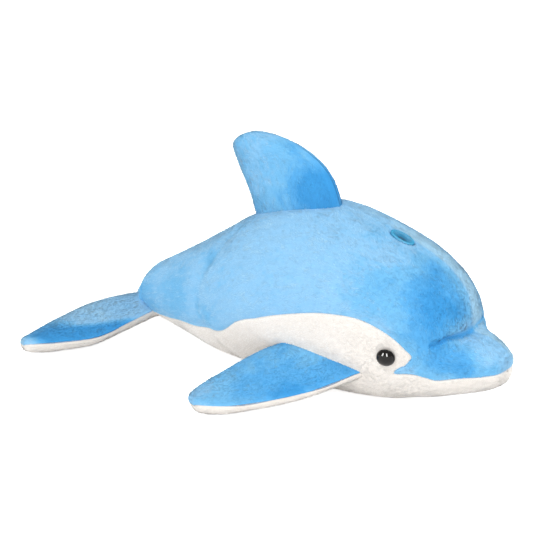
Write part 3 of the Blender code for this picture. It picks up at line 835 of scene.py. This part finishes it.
MIRROR_LINES = {
    "seam": SEAM_TRACE[:len(SEAM_TRACE) // 2],
    "back": BACK_TRACE,
    "crease": on_body(CREASE),
    "fold": on_body(TAIL_FOLD),
    "eye": body_point(EYE_PLACE[0], np.radians(EYE_PLACE[1]))[None, :],
    "dorsal root": root_ring(DORSAL),
    "flipper root": root_ring(flipper(1)),
}


def back_line(station):
    """A point of the back line, and the direction of the line there, towards the nose."""
    ahead, behind = body_point(station - 0.1, 0.0), body_point(station + 0.1, 0.0)
    return body_point(station, 0.0), unit(ahead - behind)


def blowhole_share(points):
    """Distance from the blowhole's middle in shares of its oval: 1 on its edge."""
    middle, slope = back_line(BLOWHOLE_STATION)
    along = (points - middle) @ slope
    return np.hypot(along / (BLOWHOLE_SIZE[0] / 2), points[..., 1] / (BLOWHOLE_SIZE[1] / 2))


def relief(points, station, angle, seed):
    """Depth of the cloth's ground under the outline of the toy, and how long its pile stands.
    The crease fades towards the left side, and the cloth dips under the blowhole's stitches."""
    folded = mirrored(points)
    far = {name: distance_to(folded, line) for name, line in MIRROR_LINES.items()}
    oval = blowhole_share(points)
    puckers = noise(points, 5 * MM, seed) * np.exp(-far["seam"] / (6 * MM))
    depth = PILE_ROOT + rolled_in(far["seam"]) + valley(far["seam"], 0.7 * MM, 5 * MM)
    depth += 0.22 * MM * puckers
    fading = {"crease": 0.3 + 0.7 * ease(points[..., 1], 7 * MM, 2 * MM)}
    for name, (deep, wide) in VALLEYS.items():
        depth += fading.get(name, 1.0) * valley(far[name], deep * MM, wide * MM)
    depth += 2.6 * MM * ease(oval, 1.25, 0.75)
    for line in STUMP_CREASES:
        depth += valley(distance_to(folded, on_body(line)), 1.8 * MM, 1.8 * MM)
    lifted = ease(points[..., 2], 1 * MM, 12 * MM)
    depth -= lifted * 0.6 * MM * noise(points, 38 * MM, seed + 1)
    depth -= lifted * 0.12 * MM * noise(points, 14 * MM, seed + 2)
    keep = 0.45 + 0.55 * ease(far["seam"], 0.3 * MM, 3 * MM)
    keep = keep * (0.55 + 0.45 * lifted) * ease(oval, 0.95, 1.15) * ease(far["eye"], *EYE_ROOM)
    return depth, keep


# Side, station, angle, size in mm and change of shade of each patch. The right-side patches at
# stations 13.0 and 15.2 are painted shade on the tail stock's shaded side, and those at 11.87
# and 11.7 are painted shade in the tail's fold.
NAP_AND_PAINTED_SHADE_PATCHES = (
    (-1, 6.6, 31.0, 20.0, -0.52), (-1, 6.0, 56.0, 19.0, -0.42), (-1, 7.8, 52.0, 17.0, -0.26),
    (-1, 5.4, 12.0, 13.0, -0.46), (-1, 7.0, 12.0, 11.0, -0.32),
    (-1, 4.4, 70.0, 15.0, -0.44), (-1, 3.2, 54.0, 9.0, -0.14), (-1, 2.9, 80.0, 10.0, -0.34),
    (-1, 1.6, 74.0, 7.0, -0.22), (-1, 13.0, 82.0, 22.0, -0.22), (-1, 15.2, 90.0, 20.0, -0.28),
    (-1, 8.4, 9.0, 12.0, -0.14), (-1, 11.87, 46.0, 7.0, -0.20), (-1, 11.7, 97.0, 8.0, -0.20),
    (1, 4.8, 80.0, 24.0, -0.40), (1, 7.0, 60.0, 26.0, -0.25), (1, 11.5, 70.0, 40.0, -0.20),
    (1, 15.5, 80.0, 22.0, -0.22),
)
# Strength of the painted rim light beyond the forehead's back seam.
PAINTED_RIM_LIGHT = 0.34


def body_nap_and_painted_light(points, station, seed):
    """Shade of the nap, with painted light and shade: a pale ground, bell-shaped patches round
    places on the body, some of which are painted shade, a pale strip beyond the back seam of the
    forehead, which is painted rim light, and darker lines in the crease, beside the tail fold and
    in the stump's creases, which are painted shade."""
    shade = 0.74 + broken(points, seed, 0.05)
    warp = np.stack([noise(points, 14 * MM, seed + k) for k in (7, 8, 9)], axis=-1)
    warped = points + 5 * MM * warp
    for side, middle_station, angle, size, change in NAP_AND_PAINTED_SHADE_PATCHES:
        middle = body_point(middle_station, side * np.radians(angle))
        far = np.linalg.norm(warped - middle, axis=-1)
        shade = shade + change * bell(far, size * MM)
    # Painted light: a pale strip on the left side of the forehead, just beyond the back seam.
    beyond = ease(points[..., 1], 4.0 * MM, 7.5 * MM) * ease(station, 9.5, 7.5)
    shade = shade + PAINTED_RIM_LIGHT * beyond * ease(points[..., 1], 30 * MM, 14 * MM)
    # Painted shade: darker lines in the crease above the beak, beside the tail fold and in the
    # stump's creases.
    folded = mirrored(points)
    shade = shade - 0.55 * bell(distance_to(folded, MIRROR_LINES["crease"]), 1.3 * MM)
    shade = shade - 0.08 * bell(distance_to(folded, MIRROR_LINES["fold"]), 4.0 * MM)
    for line in STUMP_CREASES:
        shade = shade - 0.2 * bell(distance_to(folded, on_body(line)), 1.6 * MM)
    return np.clip(shade, 0, 1)


def body_panel(name, station, angle, inner, ruffled, seed):
    """A panel of the body from the stations and angles of its grid."""
    points, normal = body_point(station, angle), body_normal(station, angle)
    depth, keep = relief(points, station, angle, seed)
    grid = points - depth[..., None] * normal
    grid[..., 2] = np.maximum(grid[..., 2], LOWEST)
    lining = (points - (PILE_ROOT + ROLL + CLOTH) * normal)[:, inner]
    nap_and_painted_light = body_nap_and_painted_light(points, station, seed)
    return plush(name, grid, lining, normal, np.gradient(grid, axis=0), keep, nap_and_painted_light, ruffled, seed)


BACK_COLUMNS = 92
BELLY_COLUMNS = 141
BODY_SEED = 71
back, seam, seam_angle, belly = (column[:, None] for column in spline(SEAM_LINE, PLACES).T)
seam_angle = np.radians(seam_angle)
share = crowded(BACK_COLUMNS)[None, :]
station = back + (seam - back) * share ** BACK_FAN
columns = picked(BACK_COLUMNS, LINING_COLUMNS)
backs = {word: body_panel(f"plush_back_{word}", station, side * seam_angle * share, columns,
                          BLUE_RUFFLED, BODY_SEED) for word, side in SIDES}
share = 2 * crowded(BELLY_COLUMNS)[None, :] - 1
station = belly + (seam - belly) * np.abs(share) ** BELLY_FAN
angle = np.where(share < 0, -1, 1) * (np.pi - (np.pi - seam_angle) * np.abs(share))
belly_cloth = body_panel("plush_belly", station, angle,
                         picked(BELLY_COLUMNS, 2 * LINING_COLUMNS + 1), WHITE_RUFFLED, BODY_SEED)

# %% [markdown]
# ## Eyes and blowhole
#
# The eyes are moulded domes pushed through the cloth. A dome is a profile turned about the axis
# that points straight out of the body. The blowhole is an oval of close stitches in teal thread,
# sewn down to a slit, and the stitches are drawn as raised rays on a shallow dish. The thread is
# painted darker towards the sunken slit: painted shade in the hollow.

# %% A profile turned about an axis
EYE_RADIUS = 6.0 * MM
EYE_HEIGHT = 4.8 * MM
EYE_SINK = 1.6 * MM
EYE_RIM = 0.9 * MM
EYE_DROOP = 0.26


def closed_rings(name, rings, ends, turn=1):
    """Closed mesh of rings of points, an array (rings, around, 3), joined by quads, with a fan
    of triangles from the first and the last ring to an end point each. A turn of -1 turns every
    face over, for rings that run from the outside in."""
    count, around = rings.shape[:2]
    k = np.arange(around)
    following = (k + 1) % around
    row = np.arange(count - 1)[:, None] * around
    quads = [row + k, row + following, row + around + following, row + around + k]
    last = (count - 1) * around
    low = [following, k, np.full(around, count * around)]
    high = [last + k, last + following, np.full(around, count * around + 1)]
    faces = [np.stack(quads, axis=-1).reshape(-1, 4), np.stack(low, axis=1), np.stack(high, axis=1)]
    return new_piece(name, np.concatenate([rings.reshape(-1, 3), ends]),
                     [f[:, ::turn] for f in faces])


def turned(name, profile, place, axis, around=64):
    """Closed solid of revolution: each (radius, height) of the profile goes round the axis. The
    first and the last point lie on the axis itself, and each closes the skin with a fan of
    triangles."""
    axis = unit(np.asarray(axis, float))
    side = unit(np.cross(axis, (0.3, 0.1, 1.0)))
    turn = np.linspace(0, 2 * np.pi, around, endpoint=False)
    ring = np.cos(turn)[:, None] * side + np.sin(turn)[:, None] * np.cross(axis, side)
    radius, height = np.asarray(profile[1:-1]).T
    rings = place + radius[:, None, None] * ring + height[:, None, None] * axis
    return closed_rings(name, rings, [place + profile[k][1] * axis for k in (0, -1)])


def dome_profile(radius, height, rim, steps=18):
    """A flat foot, an upright rim and then a quarter ellipse to the top."""
    t = np.linspace(0, np.pi / 2, steps)
    arc = np.stack([radius * np.cos(t), rim + (height - rim) * np.sin(t)], axis=1)
    foot = [(0.0, 0.0), (radius * 0.93, 0.0), (radius, rim * 0.35)]
    return np.vstack([foot, arc[:-1], [(0.0, height)]])


def eye_seat(side):
    """The middle of an eye's foot, a little under the cloth, and its axis, tilted a little down."""
    station, angle = EYE_PLACE[0], side * np.radians(EYE_PLACE[1])
    outward = body_normal(station, angle)
    return body_point(station, angle) - EYE_SINK * outward, unit(outward - (0, 0, EYE_DROOP))


eyes = {}
profile = dome_profile(EYE_RADIUS, EYE_HEIGHT, EYE_RIM)
for word, side in SIDES:
    eyes[word] = turned(f"dome_eye_{word}", profile, *eye_seat(side))
    solid = np.mean(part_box(f"eye_{word}"), axis=0)
    print("eye", word, "mm:", np.round(eye_seat(side)[0] / MM, 1), "solid:", np.round(solid / MM))

# %% The stitched blowhole
STITCHES = 44
STITCH_HEIGHT = 0.45 * MM
DISH_RISE, DISH_SUNK, FOOT_SUNK = 1.6 * MM, 2.4 * MM, 3.4 * MM
RIM_HEIGHT, RIM_PLACE, RIM_WIDTH = 0.8 * MM, 0.86, 0.13
SLIT_DEPTH = 1.6 * MM
BACK_BEND = 3.0


def stitched_oval(name, station, size, around=192, rings=26):
    """A dish over an oval: radius share u runs from the middle to the rim, height is rise * u^2,
    and each stitch is a half-round ridge across the dish. It follows the back's curve
    lengthwise."""
    middle, along = back_line(station)
    up = unit(np.cross(along, LEFTWARD))
    u = np.linspace(0.04, 1.0, rings)[:, None]
    turn = np.linspace(0, 2 * np.pi, around, endpoint=False)[None, :]
    ridge = np.abs(np.sin(turn * STITCHES / 2)) * ease(u, 0.25, 0.6) * STITCH_HEIGHT
    height = DISH_RISE * u ** 2 + RIM_HEIGHT * bell(u - RIM_PLACE, RIM_WIDTH) + ridge - DISH_SUNK
    height = height - SLIT_DEPTH * ease(u, 0.35, 0.0)
    x, y = size[0] / 2 * u * np.cos(turn), size[1] / 2 * u * np.sin(turn)
    bent = BACK_BEND * x ** 2
    flat = x[..., None] * along + y[..., None] * LEFTWARD
    top = middle + flat + (height - bent)[..., None] * up
    foot = middle + flat[-1:] - (FOOT_SUNK + bent[-1:])[..., None] * up
    ends = [top[0].mean(0), foot[0].mean(0)]
    obj = closed_rings(name, np.concatenate([top, foot]), ends, -1)
    # The share from the middle to the rim, which the thread's colour reads for its painted shade
    # towards the slit.
    set_values(obj.data, "height", [*np.repeat(u[:, 0], around), *np.ones(around), 0.0, 1.0])
    return obj


blowhole = stitched_oval("stitched_blowhole", BLOWHOLE_STATION, BLOWHOLE_SIZE)

# %% [markdown]
# ## Materials
#
# Plush has no shine of its own. Its look is the shade between the locks, pale tips, and a soft
# sheen along the edges, where light catches the ends of the pile. The colour of the blue cloth
# follows the nap values stored on its points, which carry painted light and shade too, and is
# painted darker towards the root of each lock: painted shade between the locks.

# %% A few words for building node trees
def linear(code):
    """sRGB hex to linear light: c / 12.92 below 0.04045, else ((c + 0.055) / 1.055)^2.4."""
    c = np.array([int(code[k:k + 2], 16) for k in (1, 3, 5)]) / 255
    return (*np.where(c <= 0.04045, c / 12.92, ((c + 0.055) / 1.055) ** 2.4), 1.0)


def node(tree, kind, links=(), **settings):
    """Add one node; settings with a socket's name set that input, others set the node's own
    field, and links join outputs to its inputs."""
    made = tree.nodes.new(kind)
    for key, value in settings.items():
        socket = made.inputs.get(key.replace("_", " "))
        if socket is not None and not hasattr(made, key):
            socket.default_value = value
        else:
            setattr(made, key, value)
    for output, name in links:
        tree.links.new(output, made.inputs[name])
    return made


def material(name, **finish):
    """A new material, its Principled shader with the finish set on its own sockets, and its
    tree."""
    made = bpy.data.materials.new(name)
    made.use_nodes = True
    shader = made.node_tree.nodes["Principled BSDF"]
    for key, value in finish.items():
        shader.inputs[key.replace("_", " ")].default_value = value
    return made, shader, made.node_tree


def ramp(tree, source, *stops):
    """Colour ramp through (position, hex) stops, eased between them."""
    made = node(tree, "ShaderNodeValToRGB", [(source, "Fac")])
    made.color_ramp.interpolation = "EASE"
    points = made.color_ramp.elements
    while len(points) < len(stops):
        points.new(0.5)
    for point, (position, code) in zip(points, stops):
        point.position = position
        point.color = linear(code)
    return made.outputs["Color"]


def maths(tree, operation, *values):
    """One Math node. Each value is a number, set on the input itself, or another node's output."""
    made = node(tree, "ShaderNodeMath", operation=operation)
    for socket, value in zip(made.inputs, values):
        if isinstance(value, float):
            socket.default_value = value
        else:
            tree.links.new(value, socket)
    return made.outputs[0]


def stored(tree, name):
    """The number stored on the points under a name."""
    return node(tree, "ShaderNodeAttribute", attribute_name=name).outputs["Fac"]


# %% Plush in blue and in white
MOTTLE = 0.3


def plush_cloth(name, *stops, root, sheen):
    """Polyester plush, knitted and sheared. Fibres of 0.05 mm are too fine to show, so the bump
    is drawn at 0.35 mm, about one lock. Colour: nap stops, mottled, then darker at the root, which
    is painted shade between the locks; root is the colour of that painted shade."""
    made, shader, tree = material(name, Roughness=0.92, Specular_IOR_Level=0.15,
                                  Sheen_Weight=sheen, Sheen_Roughness=0.45)
    place = node(tree, "ShaderNodeTexCoord").outputs["Object"]
    mottle = node(tree, "ShaderNodeTexNoise", [(place, "Vector")], Scale=220.0, Detail=3.0)
    shade = maths(tree, "MULTIPLY_ADD", mottle.outputs["Fac"], MOTTLE, stored(tree, "nap_and_painted_light"))
    colour = ramp(tree, maths(tree, "SUBTRACT", shade, MOTTLE / 2), *stops)
    # Painted shade between the locks: the colour is multiplied darker towards each lock's root and
    # on the ground.
    low = ramp(tree, stored(tree, "height"), (0.0, root), (0.8, "#ffffff"))
    painted_root_shade = node(tree, "ShaderNodeMix", [(colour, 6), (low, 7)], data_type="RGBA",
                    blend_type="MULTIPLY")
    painted_root_shade.inputs[0].default_value = 1.0
    tree.links.new(painted_root_shade.outputs[2], shader.inputs["Base Color"])
    fibre = node(tree, "ShaderNodeTexNoise", [(place, "Vector")], Scale=2900.0, Detail=2.0)
    bump = node(tree, "ShaderNodeBump", [(fibre.outputs["Fac"], "Height")], Strength=0.25,
                Distance=0.0002)
    tree.links.new(bump.outputs["Normal"], shader.inputs["Normal"])
    return made


# The root colours are the painted shade between the locks.
blue_plush = plush_cloth("polyester_plush_blue", (0.0, "#3c9cd9"), (0.25, "#59aee4"),
                         (0.5, "#79c0ea"), (0.75, "#99cdef"), (1.0, "#add8f0"), root="#d2e2ee",
                         sheen=0.08)
white_plush = plush_cloth("polyester_plush_white", (0.0, "#efebe6"), (0.5, "#f5f1ec"),
                          (1.0, "#f9f6f2"), root="#e4e0dc", sheen=0.05)

# %% Moulded plastic and thread
# Polished polypropylene of the eyes, and the duller polyethylene of their washers.
eye_plastic = material("polypropylene_black_moulded", Roughness=0.09, IOR=1.49,
                       Base_Color=linear("#14110f"), Specular_IOR_Level=0.22)[0]
washer_plastic = material("polyethylene_white_moulded", Roughness=0.4, IOR=1.51,
                          Base_Color=linear("#e8e8e4"))[0]
# Rayon embroidery thread, teal, darker towards the slit in the middle of the oval: painted shade
# in the sunken middle.
thread, shader, tree = material("embroidery_thread_teal", Roughness=0.6, Sheen_Weight=0.05)
teal = ramp(tree, stored(tree, "height"), (0.0, "#04344b"), (0.27, "#085677"), (0.52, "#127fa9"),
            (1.0, "#1f98c2"))
tree.links.new(teal, shader.inputs["Base Color"])

# %% [markdown]
# ## Dressing the frame
#
# Each new piece rides on the body and stands for the solids it covers.

# %% Every piece in its place
def dress(piece, finish, slot, *covered):
    """Give a piece its material, put it on the body and hide the solids it stands for. The slot is
    not used.
    """
    piece.data.materials.append(finish)
    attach(piece, "root")
    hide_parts(*covered)


def dress_padded(piece, finish, slot, fill, *covered):
    """As dress, for a stuffed piece: fill, how tight it is, is not used."""
    dress(piece, finish, slot, *covered)


BODY_FILL = 0.75
FIN_FILL = 0.6
for word in ("left", "right"):
    dress_padded(backs[word], blue_plush, "blue_plush", BODY_FILL, f"back_panel_{word}")
dress_padded(belly_cloth, white_plush, "white_plush", BODY_FILL, "belly_panel", "body_stuffing")
dress_padded(dorsal[0], blue_plush, "blue_plush", FIN_FILL, "dorsal_panel_left", "dorsal_stuffing")
dress_padded(dorsal[1], blue_plush, "blue_plush", FIN_FILL, "dorsal_panel_right")
for word, (top, underside) in flippers.items():
    dress_padded(top, blue_plush, "blue_plush", FIN_FILL, f"flipper_{word}_top")
    dress_padded(underside, white_plush, "white_plush", FIN_FILL, f"flipper_{word}_underside",
                 f"flipper_{word}_stuffing")
dress_padded(fluke[0], blue_plush, "blue_plush", FIN_FILL, "fluke_top", "fluke_stuffing")
dress_padded(fluke[1], white_plush, "white_plush", FIN_FILL, "fluke_underside")
for word, eye in eyes.items():
    dress(eye, eye_plastic, "black_plastic", f"eye_{word}")
dress(blowhole, thread, "teal_thread", "blowhole_patch")

# %% Washers keep their solids, with the look of moulded plastic
for word in ("left", "right"):
    washer = frame["nodes"][f"eye_washer_{word}"]
    for slot in washer.material_slots:
        slot.material = washer_plastic

# %% [markdown]
# ## Floor, light and camera
#
# The toy lies on a white sweep in soft studio light: a big soft lamp above and in front, a weaker
# fill from the head's side, and a long low one that reaches under the belly. They stay out of the
# eyes, which would mirror them as grey patches. The floor's glow and the world's level are set so
# that the floor looks white and still takes the toy's shadow.

# %% The white floor
FLOOR_GLOW = 0.75
FLOOR_REACH = 3.0
# Matt white background paper, which also glows a little so that the camera sees it as white.
floor_paint, shader, tree = material("matt_white_studio_sweep", Roughness=0.9)
shader.inputs["Base Color"].default_value = linear("#fbfbfb")
ray = node(tree, "ShaderNodeLightPath").outputs
seen = maths(tree, "MAXIMUM", ray["Is Camera Ray"], ray["Is Glossy Ray"])
seen = maths(tree, "MAXIMUM", seen, ray["Is Transmission Ray"])
shader.inputs["Emission Color"].default_value = (1, 1, 1, 1)
tree.links.new(maths(tree, "MULTIPLY", seen, FLOOR_GLOW), shader.inputs["Emission Strength"])
corners = FLOOR_REACH * np.array([(-1, -1, 0), (1, -1, 0), (1, 1, 0), (-1, 1, 0)])
floor = new_piece("studio_floor", corners, [np.array([[0, 1, 2, 3]])])
floor.data.materials.append(floor_paint)

# %% World and lamps
WORLD_LEVEL = 0.72
TARGET = Vector((-0.0145, 0.0, 0.060))
scene = bpy.context.scene
world = bpy.data.worlds.new("studio")
scene.world = world
world.use_nodes = True
tree = world.node_tree
surround = tree.nodes["Background"]
surround.inputs["Color"].default_value = (1, 1, 1, 1)
ray = node(tree, "ShaderNodeLightPath").outputs
strength = maths(tree, "MULTIPLY_ADD", ray["Is Camera Ray"], 1 - WORLD_LEVEL, WORLD_LEVEL)
tree.links.new(strength, surround.inputs["Strength"])


def aimed(obj, place, target):
    """Put a lamp or camera at a place and turn its -Z towards the target."""
    obj.location = place
    obj.rotation_euler = (Vector(target) - Vector(place)).to_track_quat("-Z", "Y").to_euler()


def lamp(name, place, size, power, target=TARGET):
    """Rectangular soft lamp, (width, height) in metres, power in watts."""
    data = bpy.data.lights.new(name, "AREA")
    data.shape = "RECTANGLE"
    data.size, data.size_y = size
    data.energy = power
    obj = bpy.data.objects.new(name, data)
    scene.collection.objects.link(obj)
    aimed(obj, place, target)
    return obj


key_lamp = lamp("soft_key", (0.2, -0.9, 1.5), (1.2, 1.2), 12.2)
fill_lamp = lamp("soft_fill", (1.2, 0.5, 0.9), (0.9, 0.9), 6.0)
low_lamp = lamp("soft_low", (0.5, -1.4, 0.28), (1.8, 0.5), 4.0)
for soft in (key_lamp, fill_lamp, low_lamp):
    soft.visible_glossy = False

# %% Camera
AZIMUTH, ELEVATION, DISTANCE = np.radians(35.0), np.radians(19.0), 1.100
camera = bpy.data.objects.new("camera", bpy.data.cameras.new("camera"))
scene.collection.objects.link(camera)
camera.data.lens = 105.25
camera.data.sensor_width = 36.0
camera.data.clip_start = 0.01
level = np.cos(ELEVATION)
way = Vector((level * np.sin(AZIMUTH), -level * np.cos(AZIMUTH), np.sin(ELEVATION)))
aimed(camera, TARGET + DISTANCE * way, TARGET)
scene.camera = camera
scene.view_settings.view_transform = "Standard"

# %% [markdown]
# ## The small lights in the eyes
#
# Two slim strips stand where the near eye's dome mirrors them to the camera, side by side near
# its top. They light nothing else.

# %% Two strips that show only in reflections
STRIP_DISTANCE = 0.8
STRIP_SIZE = (0.16, 0.75)
STRIP_POWER = 22.0
STRIP_PLACES = {"left": (-0.20, 0.68), "right": (0.26, 0.68)}


def glint_direction(place, axis, sideways, upward):
    """Where a lamp stands for its image to lie on the dome at shares of its radius: the view v
    turned about the dome's normal n there, 2 (n . v) n - v, with n = (x / a, y / a, z / h) of an
    ellipsoid."""
    right = unit(np.cross((0.0, 0.0, 1.0), axis))
    above = np.cross(axis, right)
    out = np.sqrt(1 - sideways ** 2 - upward ** 2) / (EYE_HEIGHT - EYE_RIM)
    normal = unit((sideways * right + upward * above) / EYE_RADIUS + out * axis)
    view = unit(np.array(camera.location) - place)
    return 2 * (normal @ view) * normal - view


place, axis = eye_seat(-1)
for word, shares in STRIP_PLACES.items():
    away = Vector(place + STRIP_DISTANCE * glint_direction(place, axis, *shares))
    strip = lamp(f"strip_{word}", away, STRIP_SIZE, STRIP_POWER, place)
    strip.visible_diffuse = False
    print("strip", word, "stands at", np.round(strip.location, 2))
